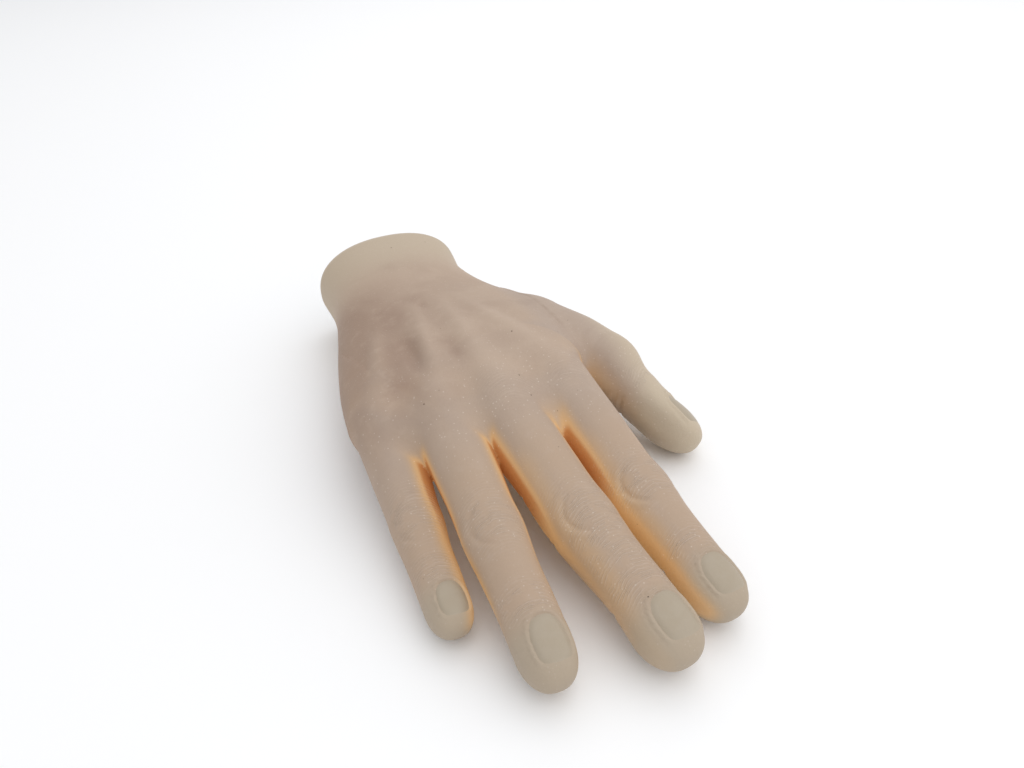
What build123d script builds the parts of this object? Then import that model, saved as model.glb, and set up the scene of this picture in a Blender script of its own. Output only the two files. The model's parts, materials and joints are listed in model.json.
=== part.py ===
from build123d import *

import os
from dataclasses import dataclass
from math import cos, radians, sin, tan

# A passive cosmetic hand prosthesis for a right arm, lying palm down.
# A silicone hand is cast round a posable metal armature. Each finger has three friction hinges and the
# thumb has two. The armature's struts stand on a palm plate inside a two-part foam core. A nylon wrist
# plate with a threaded steel bush fastens the hand to the forearm socket.
#
# Millimetres, +Z up. The origin is the centre of the wrist bush's mouth. The fingers point towards -Y
# and the thumb is on the +X side. The hand rests on the plane z = -20.

# ---------- driving dimensions ----------
SKIN = 3.5  # thickness of the silicone over the palm core
CLEAR = 0.2  # gap between the soft solids and the armature
HINGE_GAP = 0.2  # half of the gap between two soft solids, at the hinge axis

EYE_R = 3.0  # rounded ends of the links
PIN_R = 1.0
PIN_PLAY = 0.05  # radial clearance of a pin in the eye that turns on it
TONGUE = 2.4  # thickness of an eye
EAR = 1.6  # thickness of one ear of a clevis
EAR_GAP = TONGUE + 0.2
BAR_W = EAR_GAP + 2 * EAR
BAR_H = 4.6
TURN_ROOM = 0.5  # from a rounded end to the bar that turns against it
CHANNEL_W = BAR_W + 2 * CLEAR
CHANNEL_H = 2 * EYE_R + 2 * CLEAR
ROD_R = 1.8  # round rod from a strut's foot to its clevis
TIP_LINK_SHARE = 0.62  # the last link ends this far along the fingertip

PLATE_TOP = 5.0
PLATE_T = 3.0
FOOT_L, FOOT_W, FOOT_H = 20.0, 8.0, 4.0
FOOT_SCREWS = (-5.5, 5.5)  # along the foot
SCREW_R, SCREW_HEAD_R, SCREW_HEAD_H = 1.5, 2.75, 2.0

WRIST_W, WRIST_H = 58.0, 38.4  # the silicone's outer ellipse at the wrist
WRIST_X = 1.3  # that ellipse's centre
WRIST_SINK = 1.0  # the wrist plate's face lies this far inside the silicone's rim
WRIST_PLATE_T = 11.0
CORE_START = WRIST_SINK + WRIST_PLATE_T  # distance of the foam core from the silicone's rim
BUSH_R, BUSH_L = 9.0, 12.0
BUSH_BORE_R = 5.2  # core of an M12 x 1.5 thread, as a plain bore
BUSH_BACK_R, BUSH_BACK_L = 6.8, 9.0  # room behind the bush for the end of the stud
WRIST_SCREW_R, WRIST_SCREW_HEAD_R, WRIST_SCREW_HEAD_H = 2.0, 3.6, 2.4
WRIST_SCREW_X, WRIST_SCREW_Z = 14.0, 5.0
FLANGE_W, FLANGE_H, FLANGE_T = 42.0, 22.0, 3.0

NAIL_T = 0.8
NAIL_L = 13.0
NAIL_AT = 0.6  # the nail's centre, as a share of the fingertip's length

# how far each hinge bends and straightens from the cast pose, in degrees
FINGER_FLEX = (60.0, 75.0, 45.0)
FINGER_BACK = (10.0, 5.0, 5.0)
THUMB_FLEX = (18.0, 35.0)
THUMB_BACK = (10.0, 10.0)


@dataclass
class Digit:
    """A digit's line runs from a point in the palm through its hinges to its tip."""

    name: str
    start: tuple
    headings: tuple  # degrees from -Y towards +X, of each stretch
    slopes: tuple  # degrees above the horizon, of each stretch
    lengths: tuple
    roll: float  # degrees that the nail leans towards +X
    half_widths: tuple  # at the start, at each hinge, at the pad
    half_heights: tuple
    flex: tuple  # at each hinge
    back: tuple
    foot: tuple  # where its strut stands on the palm plate: x, y, heading
    nail_w: float


INDEX = Digit(
    "index", (24, -116, 7), (5.2,) * 4, (-13.5, -14.5, -11, -11), (28.8, 15.2, 23.6, 21.8), 0,
    (11, 9.6, 9.9, 8.5, 8.3), (12, 10.0, 9.3, 7.7, 6.9), FINGER_FLEX, FINGER_BACK, (19, -94, 8), 10.5,
)
MIDDLE = Digit(
    "middle", (2, -118, 9), (6.4,) * 4, (-14.5, -14.8, -9, -11.2), (28, 18.7, 26.9, 22), 0,
    (11, 9.9, 10.1, 9.0, 8.9), (12, 10.2, 9.6, 7.9, 7.1), FINGER_FLEX, FINGER_BACK, (1, -98, 4), 10.8,
)
RING = Digit(
    "ring", (-15, -114, 7), (-3.2,) * 4, (-12.5, -13, -10, -12.6), (27.7, 15.5, 25.9, 22), 0,
    (10.5, 9.2, 8.9, 7.8, 7.4), (11.5, 9.6, 9.0, 7.4, 6.6), FINGER_FLEX, FINGER_BACK, (-13, -93, -4), 10.0,
)
LITTLE = Digit(
    "little", (-32, -106, 2), (-3.4,) * 4, (-17.3, -14.7, -9.5, -6.4), (25.1, 9.8, 18.3, 19.4),
    0, (9.5, 8.2, 7.8, 6.7, 6.3), (10, 8.5, 7.8, 6.4, 5.7), FINGER_FLEX, FINGER_BACK, (-24.5, -82, -11), 8.4,
)
THUMB = Digit(
    "thumb", (36, -74, 2.3), (28, 19, 21), (-1.5, -21, -16.5), (28, 17, 28.3), 42,
    (12, 10.3, 9.7, 9.0), (13, 10.0, 8.8, 7.2), THUMB_FLEX, THUMB_BACK, (19, -54, 34), 12.0,
)
FINGERS = (INDEX, MIDDLE, RING, LITTLE)
DIGITS = FINGERS + (THUMB,)

# palm sections: y, centre x, half width, lowest z, highest z, lean in degrees towards the little finger
PALM = (
    (0, WRIST_X, WRIST_W / 2, -WRIST_H / 2, WRIST_H / 2, 0),
    (-20, 0, 26.5, -19, 18, 0),
    (-46, 0, 31, -19.4, 18.5, 1),
    (-64, 1, 37, -19, 19.5, 3),
    (-84, 0, 40.5, -16, 21, 4),
    (-102, -2, 40.5, -12.5, 20.5, 6),
    (-116, -4, 38, -10.5, 18, 7),
    (-128, -5, 34, -8, 13, 7),
)
CORE_SECTIONS = 7  # the foam core fills the palm as far as this section
PLATE_OUTLINE = ((-15, -12), (15, -12), (24, -46), (25, -60), (25, -101), (4, -107), (-19, -101), (-31, -88),
                 (-29, -66), (-22, -46))

os.makedirs("parts", exist_ok=True)


# ---------- planes along the digits ----------
def direction(heading, slope):
    """Unit vector at a heading from -Y and a slope above the horizon."""
    h, s = radians(heading), radians(slope)
    return Vector(sin(h) * cos(s), -cos(h) * cos(s), sin(s))


def hinge_point(digit, index):
    """Point index of the digit's line: 0 is its start, then each hinge, then the tip."""
    point = Vector(*digit.start)
    for heading, slope, length in zip(digit.headings[:index], digit.slopes, digit.lengths):
        point = point + direction(heading, slope) * length
    return point


def lengthwise(digit, stretch, along=0.0):
    """Plane with x along a stretch of the digit, y towards the nail's side and z along the hinge axis."""
    forward = direction(digit.headings[stretch], digit.slopes[stretch])
    upright = (Vector(0, 0, 1) - forward * forward.Z).normalized()
    nail_side = upright.rotate(Axis((0, 0, 0), tuple(forward)), -digit.roll)
    return Plane(hinge_point(digit, stretch) + forward * along, x_dir=forward, z_dir=forward.cross(nail_side))


def across(digit, stretch, along=0.0):
    """Plane across a stretch of the digit, with x along the hinge axis and y towards the nail's side."""
    plane = lengthwise(digit, stretch, along)
    return Plane(plane.origin, x_dir=-plane.z_dir, z_dir=-plane.x_dir)


def before_hinge(digit, hinge):
    """Plane at a hinge, square to its axis, with x along the stretch that ends there."""
    plane = lengthwise(digit, hinge)
    along = direction(digit.headings[hinge - 1], digit.slopes[hinge - 1])
    along = along - plane.z_dir * along.dot(plane.z_dir)
    return Plane(plane.origin, x_dir=along, z_dir=plane.z_dir)


def parting(digit, hinge):
    """Plane at a hinge, with x halfway between the two stretches that meet there."""
    before, after = before_hinge(digit, hinge), lengthwise(digit, hinge)
    return Plane(after.origin, x_dir=before.x_dir + after.x_dir, z_dir=after.z_dir)


# ---------- soft solids ----------
def whole_digit(digit):
    """The digit's outer shape in one piece, from inside the palm to its rounded tip."""
    last = len(digit.slopes) - 1
    wide, high = digit.half_widths, digit.half_heights
    with BuildPart() as soft:
        for i in range(last + 1):
            with BuildSketch(across(digit, i)):
                Ellipse(wide[i], high[i])
            if 0 < i < last:
                with BuildSketch(across(digit, i, digit.lengths[i] / 2)):
                    Ellipse((wide[i] + wide[i + 1]) / 2 - 0.7, (high[i] + high[i + 1]) / 2 - 0.3)
        for share, size in ((0.5, 1.0), (0.76, 0.88), (0.9, 0.65), (0.98, 0.34)):
            with BuildSketch(across(digit, last, share * digit.lengths[last])):
                Ellipse(wide[-1] * size, high[-1] * size)
        loft(ruled=True)
    return soft.part


WHOLE = {digit.name: whole_digit(digit) for digit in DIGITS}


def give_up(digit, hinge, side, reach=30.0, half_width=30.0):
    """What a soft solid gives up at a hinge. Side is 1 for the solid beyond it and -1 for the one before."""
    palm_x = HINGE_GAP + reach * tan(radians(digit.flex[hinge - 1] / 2 + 1))
    nail_x = HINGE_GAP + reach * tan(radians(digit.back[hinge - 1] / 2 + 1))
    with BuildPart() as wedge:
        with BuildSketch(parting(digit, hinge)):
            with BuildLine():
                Polyline(
                    (side * nail_x, reach), (side * HINGE_GAP, 0), (side * palm_x, -reach),
                    (-side * 80, -reach), (-side * 80, reach), close=True,
                )
            make_face()
        extrude(amount=half_width, both=True)
    return wedge.part


def stub(digit):
    """The part of the digit that belongs to the palm."""
    cut = give_up(digit, 1, -1)
    with BuildPart() as soft:
        add(WHOLE[digit.name])
        add(cut, mode=Mode.SUBTRACT)
    return soft.part


def segment(digit, stretch):
    """The soft solid of a stretch beyond the palm, with the armature's channel through it."""
    last = len(digit.slopes) - 1
    cuts = [give_up(digit, stretch, 1)]
    channel = digit.lengths[stretch]
    if stretch < last:
        cuts.append(give_up(digit, stretch + 1, -1))
    else:
        channel = channel * TIP_LINK_SHARE + CLEAR
    with BuildPart() as soft:
        add(WHOLE[digit.name])
        add(cuts, mode=Mode.SUBTRACT)
        with BuildSketch(lengthwise(digit, stretch)):
            Rectangle(2 * channel, CHANNEL_H)
        extrude(amount=CHANNEL_W / 2, both=True, mode=Mode.SUBTRACT)
    return soft.part


def nail(digit):
    """A thin plate in the back of the fingertip, following its surface."""
    last = len(digit.slopes) - 1
    middle = lengthwise(digit, last, NAIL_AT * digit.lengths[last])
    under = WHOLE[digit.name].moved(Location(-middle.y_dir * NAIL_T))
    with BuildPart() as plate:
        with BuildSketch(Plane(middle.origin, x_dir=middle.x_dir, z_dir=middle.y_dir)):
            RectangleRounded(NAIL_L, digit.nail_w, 3.5)
        extrude(amount=12)
        add(WHOLE[digit.name], mode=Mode.INTERSECT)
        add(under, mode=Mode.SUBTRACT)
    return plate.part


def cut_nail(soft, plate):
    """The fingertip with the nail's seat in it."""
    with BuildPart() as seat:
        add(soft)
        add(plate, mode=Mode.SUBTRACT)
    return seat.part


# ---------- the armature ----------
def clevis(plane, reach):
    """Two ears round the plane's origin, on a block that ends the distance reach behind it."""
    block = reach - EYE_R - TURN_ROOM
    with BuildPart() as head:
        with BuildSketch(plane):
            Circle(EYE_R)
            with Locations((-reach / 2, 0)):
                Rectangle(reach, 2 * EYE_R)
        extrude(amount=BAR_W / 2, both=True)
        with BuildSketch(plane):
            with Locations((EYE_R - (reach + EYE_R - block) / 2, 0)):
                Rectangle(reach + EYE_R - block, 3 * EYE_R)
        extrude(amount=EAR_GAP / 2, both=True, mode=Mode.SUBTRACT)
        with BuildSketch(plane):
            Circle(PIN_R)
        extrude(amount=BAR_W, both=True, mode=Mode.SUBTRACT)
    return head.part


def link(digit, stretch):
    """A link that turns on one hinge's pin and carries the next hinge, or ends in a blade in the tip."""
    last = len(digit.slopes) - 1
    length = digit.lengths[stretch]
    plane = lengthwise(digit, stretch)
    bar_start = EYE_R + TURN_ROOM
    bar_end = TIP_LINK_SHARE * length if stretch == last else length - bar_start
    head = clevis(before_hinge(digit, stretch + 1), bar_start + 1) if stretch < last else None
    with BuildPart() as made:
        with BuildSketch(plane):
            Circle(EYE_R)
            with Locations((bar_start / 2 + 0.2, 0)):
                Rectangle(bar_start + 0.4, BAR_H)
        extrude(amount=TONGUE / 2, both=True)
        with BuildSketch(plane):
            with Locations(((bar_start + bar_end) / 2, 0)):
                Rectangle(bar_end - bar_start, BAR_H)
        extrude(amount=BAR_W / 2, both=True)
        with BuildSketch(plane):
            Circle(PIN_R + PIN_PLAY)
        extrude(amount=BAR_W, both=True, mode=Mode.SUBTRACT)
        if stretch < last:
            add(head)
        else:
            tip_edges = made.edges().filter_by(Plane(plane.origin, z_dir=plane.x_dir)).group_by(
                lambda edge: (edge.center() - plane.origin).dot(plane.x_dir)
            )[-1]
            fillet(tip_edges.filter_by(lambda edge: abs(edge.tangent_at(0).dot(plane.z_dir)) > 0.9), 1.8)
    return made.part


def pin(digit, hinge):
    """The pin of one hinge, flush with the ears that hold it."""
    with BuildPart() as made:
        with BuildSketch(lengthwise(digit, hinge)):
            Circle(PIN_R)
        extrude(amount=BAR_W / 2, both=True)
    return made.part


def foot_plane(digit):
    """Plane on the palm plate with x along the foot of the digit's strut."""
    x, y, heading = digit.foot
    return Plane((x, y, PLATE_TOP), x_dir=direction(heading, 0), z_dir=(0, 0, 1))


def rod(digit, radius):
    """The round rod from the foot of the digit's strut to its clevis."""
    start = foot_plane(digit).from_local_coords(Vector(FOOT_L / 2 - 1, 0, FOOT_H / 2 + 0.3))
    end = lengthwise(digit, 1).from_local_coords(Vector(-EYE_R - TURN_ROOM - 1.5, 0, 0))
    with BuildPart() as made:
        with BuildSketch(Plane(start, z_dir=end - start)):
            Circle(radius)
        extrude(amount=(end - start).length)
    return made.part


def strut(digit):
    """A foot on the palm plate, a rod, and the clevis of the digit's first hinge."""
    head = clevis(lengthwise(digit, 1), EYE_R + TURN_ROOM + 3)
    bar = rod(digit, ROD_R)
    with BuildPart() as made:
        with BuildSketch(foot_plane(digit)):
            RectangleRounded(FOOT_L, FOOT_W, 2)
        extrude(amount=FOOT_H)
        add([bar, head])
        with BuildSketch(foot_plane(digit)):
            with Locations(*[(x, 0) for x in FOOT_SCREWS]):
                Circle(SCREW_R)
        extrude(amount=FOOT_H, mode=Mode.SUBTRACT)
        with BuildSketch(foot_plane(digit).offset(FOOT_H)):
            with Locations(*[(x, 0) for x in FOOT_SCREWS]):
                Circle(SCREW_R)
        extrude(amount=2, mode=Mode.SUBTRACT)
    return made.part


def foot_pocket(digit):
    """Room in the core for a strut's foot and the heads of its screws under the plate."""
    plane = foot_plane(digit)
    with BuildPart() as room:
        with BuildSketch(plane):
            RectangleRounded(FOOT_L + 2 * CLEAR, FOOT_W + 2 * CLEAR, 2)
        extrude(amount=FOOT_H + CLEAR)
        with BuildSketch(plane.offset(-PLATE_T)):
            with Locations(*[(x, 0) for x in FOOT_SCREWS]):
                Circle(SCREW_HEAD_R + CLEAR)
        extrude(amount=-SCREW_HEAD_H - CLEAR)
    return room.part


def hinge_pocket(digit):
    """Room in the palm's silicone for the clevis of a digit's first hinge."""
    with BuildPart() as room:
        with BuildSketch(lengthwise(digit, 1)):
            with Locations((-2.4, 0)):
                Rectangle(10.4, CHANNEL_H)
        extrude(amount=CHANNEL_W / 2, both=True)
    return room.part


def screws(planes, shaft_r, shaft_l, head_r, head_h):
    """Pan-head screws with a cross recess, each with its head behind its plane and its shaft along z."""
    with BuildPart() as made:
        for plane in planes:
            with BuildSketch(plane):
                Circle(shaft_r)
            extrude(amount=shaft_l)
            with BuildSketch(plane):
                Circle(head_r)
            extrude(amount=-head_h)
            with BuildSketch(plane.offset(-head_h)):
                Rectangle(1.1 * head_r, 0.25 * head_r)
                Rectangle(0.25 * head_r, 1.1 * head_r)
            extrude(amount=0.45 * head_h, mode=Mode.SUBTRACT)
    return made.part


def palm_solid(inset, count):
    """The palm lofted through its first sections, made smaller all round by inset."""
    with BuildPart() as made:
        for y, x, half_width, low, high, lean in PALM[:count]:
            leaning = (cos(radians(lean)), 0, sin(radians(lean)))
            with BuildSketch(Plane((x, y, (low + high) / 2), x_dir=leaning, z_dir=(0, -1, 0))):
                Ellipse(half_width - inset, (high - low) / 2 - inset)
        loft()
    return made.part


def behind_wrist(solid):
    """The part of a palm solid that lies beyond the wrist plate."""
    with BuildPart() as made:
        add(solid)
        with BuildSketch(Plane.XZ.offset(-1)):
            Rectangle(90, 70)
        extrude(amount=CORE_START + 1, mode=Mode.SUBTRACT)
    return made.part


def write(part, name):
    """Labels a finished piece and writes its file."""
    part.label = name
    export_step(part, f"parts/{name}.step")


# ---------- the palm's pieces ----------
# z of Plane.XZ points towards the fingers, so its offsets count from the wrist's rim into the hand
WRIST_FACE = Plane.XZ.offset(WRIST_SINK)
FLANGE_FACE = Plane.XZ.offset(CORE_START)
SCREW_SIDES = [(x, z) for x in (-1, 1) for z in (-1, 1)]
WRIST_SCREW_PLACES = [(x * WRIST_SCREW_X, z * WRIST_SCREW_Z) for x, z in SCREW_SIDES]


def thenar():
    """The ball of the thumb, from the middle of the palm to the thumb's first hinge."""
    with BuildPart() as made:
        with BuildSketch(Plane((14, -34, -2), z_dir=direction(30, 0))):
            Ellipse(11, 14)
        with BuildSketch(Plane((27, -56, -1), z_dir=direction(29, 0))):
            Ellipse(13, 15)
        with BuildSketch(Plane(lengthwise(THUMB, 0, 4).origin, z_dir=direction(28, 0))):
            Ellipse(12.5, 13.5)
        with BuildSketch(Plane(hinge_point(THUMB, 1), z_dir=direction(27, -6))):
            Circle(10.1)
        loft()
    return made.part


OUTER = palm_solid(0, len(PALM))
INNER = behind_wrist(palm_solid(SKIN, CORE_SECTIONS))
CORE = behind_wrist(palm_solid(SKIN + CLEAR, CORE_SECTIONS))
THENAR = thenar()
HINGE_CUTS = [give_up(d, 1, -1, d.half_heights[1] + 2, d.half_widths[1] + 0.8) for d in DIGITS]
STUBS = [stub(digit) for digit in DIGITS]
HINGE_POCKETS = [hinge_pocket(digit) for digit in DIGITS]
ROD_HOLES = [rod(digit, ROD_R + CLEAR) for digit in DIGITS]
FOOT_POCKETS = [foot_pocket(digit) for digit in DIGITS]

with BuildPart() as palm_outside:
    add(OUTER)
    add(THENAR)
    add(HINGE_CUTS, mode=Mode.SUBTRACT)

with BuildPart() as palm_skin:
    add(palm_outside.part)
    for piece in STUBS:
        add(piece)
    add(INNER, mode=Mode.SUBTRACT)
    with BuildSketch(Plane.XZ):
        with Locations((WRIST_X, 0)):
            Ellipse(WRIST_W / 2 - SKIN, WRIST_H / 2 - SKIN)
    extrude(amount=CORE_START, mode=Mode.SUBTRACT)
    for room in HINGE_POCKETS + ROD_HOLES:
        add(room, mode=Mode.SUBTRACT)

with BuildPart() as palm_plate:
    with BuildSketch(Plane.XY.offset(PLATE_TOP)):
        with BuildLine():
            Polyline(*PLATE_OUTLINE, close=True)
        make_face()
    extrude(amount=-PLATE_T)
    fillet(palm_plate.edges().filter_by(Axis.Z), 2.5)
    with BuildSketch(FLANGE_FACE):
        Ellipse(FLANGE_W / 2, FLANGE_H / 2)
    extrude(amount=FLANGE_T)
    with BuildSketch(FLANGE_FACE):
        Circle(BUSH_BACK_R)
    extrude(amount=BUSH_BACK_L, mode=Mode.SUBTRACT)
    with BuildSketch(FLANGE_FACE):
        with Locations(*WRIST_SCREW_PLACES):
            Circle(WRIST_SCREW_R)
    extrude(amount=FLANGE_T, mode=Mode.SUBTRACT)
    for digit in DIGITS:
        with BuildSketch(foot_plane(digit)):
            with Locations(*[(x, 0) for x in FOOT_SCREWS]):
                Circle(SCREW_R)
        extrude(amount=-PLATE_T, mode=Mode.SUBTRACT)

with BuildPart() as palm_core:
    add(CORE)
    with BuildSketch(FLANGE_FACE):
        Ellipse(FLANGE_W / 2 + CLEAR, FLANGE_H / 2 + CLEAR)
    extrude(amount=FLANGE_T + CLEAR, mode=Mode.SUBTRACT)
    with BuildSketch(FLANGE_FACE):
        Circle(BUSH_BACK_R)
    extrude(amount=BUSH_BACK_L, mode=Mode.SUBTRACT)
    with BuildSketch(Plane.XY.offset(PLATE_TOP + CLEAR)):
        with BuildLine():
            Polyline(*PLATE_OUTLINE, close=True)
        make_face()
        offset(amount=CLEAR)
    extrude(amount=-PLATE_T - 2 * CLEAR, mode=Mode.SUBTRACT)
    add(FOOT_POCKETS + ROD_HOLES + HINGE_POCKETS, mode=Mode.SUBTRACT)

CORE_PARTING = Plane.XY.offset(PLATE_TOP - PLATE_T / 2)

with BuildPart() as palm_core_dorsal:
    add(palm_core.part)
    split(bisect_by=CORE_PARTING, keep=Keep.TOP)

with BuildPart() as palm_core_palmar:
    add(palm_core.part)
    split(bisect_by=CORE_PARTING, keep=Keep.BOTTOM)

with BuildPart() as wrist_plate:
    with BuildSketch(WRIST_FACE):
        with Locations((WRIST_X, 0)):
            Ellipse(WRIST_W / 2 - SKIN - CLEAR, WRIST_H / 2 - SKIN - CLEAR)
    extrude(amount=WRIST_PLATE_T)
    with BuildSketch(Plane.XZ):
        Circle(BUSH_R)
    extrude(amount=BUSH_L, mode=Mode.SUBTRACT)
    with BuildSketch(WRIST_FACE):
        with Locations(*WRIST_SCREW_PLACES):
            Circle(WRIST_SCREW_R)
    extrude(amount=WRIST_PLATE_T, mode=Mode.SUBTRACT)
    with BuildSketch(WRIST_FACE):
        with Locations(*WRIST_SCREW_PLACES):
            Circle(WRIST_SCREW_HEAD_R)
    extrude(amount=WRIST_SCREW_HEAD_H, mode=Mode.SUBTRACT)

with BuildPart() as wrist_bush:
    with BuildSketch(Plane.XZ):
        Circle(BUSH_R)
        Circle(BUSH_BORE_R, mode=Mode.SUBTRACT)
    extrude(amount=BUSH_L)

SEATS = [Plane((x, -WRIST_SINK - WRIST_SCREW_HEAD_H, z), x_dir=(1, 0, 0), z_dir=(0, -1, 0))
         for x, z in WRIST_SCREW_PLACES]
UNDER_FEET = [Plane(foot_plane(digit).from_local_coords(Vector(x, 0, -PLATE_T)), z_dir=(0, 0, 1))
              for digit in DIGITS for x in FOOT_SCREWS]
wrist_screws = screws(SEATS, WRIST_SCREW_R, WRIST_PLATE_T - WRIST_SCREW_HEAD_H + FLANGE_T, WRIST_SCREW_HEAD_R,
                      WRIST_SCREW_HEAD_H)
plate_screws = screws(UNDER_FEET, SCREW_R, PLATE_T + FOOT_H, SCREW_HEAD_R, SCREW_HEAD_H)

with BuildPart() as knuckle_pins:
    add([pin(digit, 1) for digit in DIGITS])

write(palm_skin.part, "palm_skin")
write(palm_core_dorsal.part, "palm_core_dorsal")
write(palm_core_palmar.part, "palm_core_palmar")
write(palm_plate.part, "palm_plate")
write(plate_screws, "plate_screws")
write(wrist_plate.part, "wrist_plate")
write(wrist_bush.part, "wrist_bush")
write(wrist_screws, "wrist_screws")
write(knuckle_pins.part, "knuckle_pins")
for digit in DIGITS:
    write(strut(digit), f"{digit.name}_strut")

# ---------- the digits' pieces ----------
for digit in DIGITS:
    stretches = ("proximal", "middle", "tip") if len(digit.slopes) == 4 else ("proximal", "tip")
    plate = nail(digit)
    for stretch, place in enumerate(stretches, 1):
        soft = segment(digit, stretch)
        if place == "tip":
            soft = cut_nail(soft, plate)
        write(soft, f"{digit.name}_{place}_skin")
        write(link(digit, stretch), f"{digit.name}_{place}_link")
        if place != "proximal":
            write(pin(digit, stretch), f"{digit.name}_{place}_pin")
    write(plate, f"{digit.name}_nail")
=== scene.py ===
import json
from math import cos, pi, radians, sin

import bmesh
import bpy
import numpy as np
import openvdb
from mathutils import Matrix, Vector


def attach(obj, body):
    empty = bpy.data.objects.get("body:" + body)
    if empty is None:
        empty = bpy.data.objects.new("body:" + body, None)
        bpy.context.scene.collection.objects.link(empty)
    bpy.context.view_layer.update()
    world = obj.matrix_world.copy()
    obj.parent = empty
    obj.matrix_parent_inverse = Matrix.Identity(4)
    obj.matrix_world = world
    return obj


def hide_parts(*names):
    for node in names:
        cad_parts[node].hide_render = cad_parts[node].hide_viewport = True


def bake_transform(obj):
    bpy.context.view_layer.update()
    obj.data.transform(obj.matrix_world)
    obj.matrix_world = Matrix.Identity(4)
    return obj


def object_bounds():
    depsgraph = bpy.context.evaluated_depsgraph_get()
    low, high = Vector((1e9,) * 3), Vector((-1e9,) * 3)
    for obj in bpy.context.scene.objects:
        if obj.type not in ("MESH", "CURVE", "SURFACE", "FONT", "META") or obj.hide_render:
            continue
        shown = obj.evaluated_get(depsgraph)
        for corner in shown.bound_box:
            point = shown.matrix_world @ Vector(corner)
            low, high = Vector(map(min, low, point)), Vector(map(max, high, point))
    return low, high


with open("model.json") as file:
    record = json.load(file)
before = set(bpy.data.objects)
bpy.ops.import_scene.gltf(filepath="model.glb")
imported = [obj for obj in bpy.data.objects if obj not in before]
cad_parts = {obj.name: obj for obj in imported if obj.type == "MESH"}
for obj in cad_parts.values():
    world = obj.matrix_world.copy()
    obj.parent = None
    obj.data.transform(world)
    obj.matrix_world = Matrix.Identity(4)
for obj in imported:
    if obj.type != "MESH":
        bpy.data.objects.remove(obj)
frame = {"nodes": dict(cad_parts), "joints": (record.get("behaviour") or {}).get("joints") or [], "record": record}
CAD_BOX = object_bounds()

# The silicone skin is one soft form that flows from the palm into the digits, so its outside is worked out
# as a distance field: sections along the palm and along each digit, melted together at the webs. The field
# becomes a mesh, is creased and padded like the cast, and is parted between the hinges, one piece for each
# stretch that bends. Lengths in this file are millimetres until a mesh is made.
MM = 0.001
VOXEL = 0.65


# ---------- sizes of the cast ----------
class Digit:
    """The line of a digit through its hinges, and the half sizes of its sections along that line."""

    def __init__(self, name, start, web_y, sections, cap, nail, nail_shift):
        self.name = name
        joints = [j for j in frame["joints"] if j["name"].startswith(name)]
        self.bodies = ["palm"] + [j["child"] for j in joints]
        hinges = [np.array(j["pos_m"]) / MM for j in joints]
        tip_skin = frame["nodes"][name + "_tip_skin"]
        points = np.array([tip_skin.matrix_world @ v.co for v in tip_skin.data.vertices]) / MM
        reach = np.linalg.norm(points - hinges[-1], axis=1)
        tip = points[reach > reach.max() - 0.6].mean(axis=0)
        self.points = [np.array(start, float)] + hinges + [tip]
        self.start = self.points[0]
        self.axis = (tip - self.start) / np.linalg.norm(tip - self.start)
        hinge_axis = np.array(joints[0]["axis"])
        self.side = hinge_axis - self.axis * hinge_axis.dot(self.axis)
        self.side /= np.linalg.norm(self.side)
        self.nail_side = np.cross(self.axis, self.side)
        local = [self.local(p) for p in self.points]
        self.at = [p[0] for p in local]  # distance along the line of each hinge and of the tip
        self.length = self.at[-1]
        self.drift = (self.at, [p[1] for p in local], [p[2] for p in local])
        self.web_y = web_y
        self.sections = np.array(sections, float)  # stretch position, half width, half height above, below
        stations = self.sections[:, 0]
        whole = np.floor(stations).astype(int)
        share = stations - whole
        ends = np.array(self.at + [self.at[-1]])
        self.where = ends[whole] + share * (ends[whole + 1] - ends[whole])
        self.cap = cap  # length of the rounded end
        self.nail = nail  # width and length
        self.nail_shift = nail_shift  # of the nail's middle, towards the thumb's side

    def local(self, p):
        """Distance along the line, towards the thumb's side, and towards the nail's side."""
        q = np.atleast_2d(p) - self.start
        out = np.stack([q @ self.axis, q @ self.side, q @ self.nail_side])
        return out[:, 0] if np.ndim(p) == 1 else out

    def world(self, s, u, v):
        return (self.start + np.multiply.outer(s, self.axis) + np.multiply.outer(u, self.side)
                + np.multiply.outer(v, self.nail_side))


def along_curve(x, xs, ys):
    """Smooth curve through the points (xs, ys), level beyond its ends."""
    xs, ys = np.asarray(xs, float), np.asarray(ys, float)
    x = np.clip(x, xs[0], xs[-1])
    slopes = np.gradient(ys, xs)
    i = np.clip(np.searchsorted(xs, x) - 1, 0, len(xs) - 2)
    h = xs[i + 1] - xs[i]
    t = (x - xs[i]) / h
    return (ys[i] * (1 + 2 * t) * (1 - t) ** 2 + slopes[i] * h * t * (1 - t) ** 2
            + ys[i + 1] * t * t * (3 - 2 * t) + slopes[i + 1] * h * t * t * (t - 1))


def ease(x):
    x = np.clip(x, 0, 1)
    return x * x * (3 - 2 * x)


def bump(x, width):
    return np.exp(-(x / width) ** 2)


def melt(a, b, k):
    """Union of two distances with a fillet of about k."""
    h = np.clip(1 - np.abs(a - b) / k, 0, None)
    return np.minimum(a, b) - h * h * k / 4


def section_distance(u, v, w, half_width, above, below, reach, power):
    """Distance to a rounded section; w runs past the last section, and reach is the cap's length."""
    half_height = np.where(v > 0, above, below)
    x, y, z = np.abs(u) / half_width, np.abs(v) / half_height, np.abs(w) / reach
    k = (x ** power + y ** power + z ** power) ** (1 / power) + 1e-6
    steep = np.sqrt((x ** (power - 1) / half_width) ** 2 + (y ** (power - 1) / half_height) ** 2
                    + (z ** (power - 1) / reach) ** 2) * k ** (1 - power)
    return (k - 1) / np.maximum(steep, 1e-3)


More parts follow.
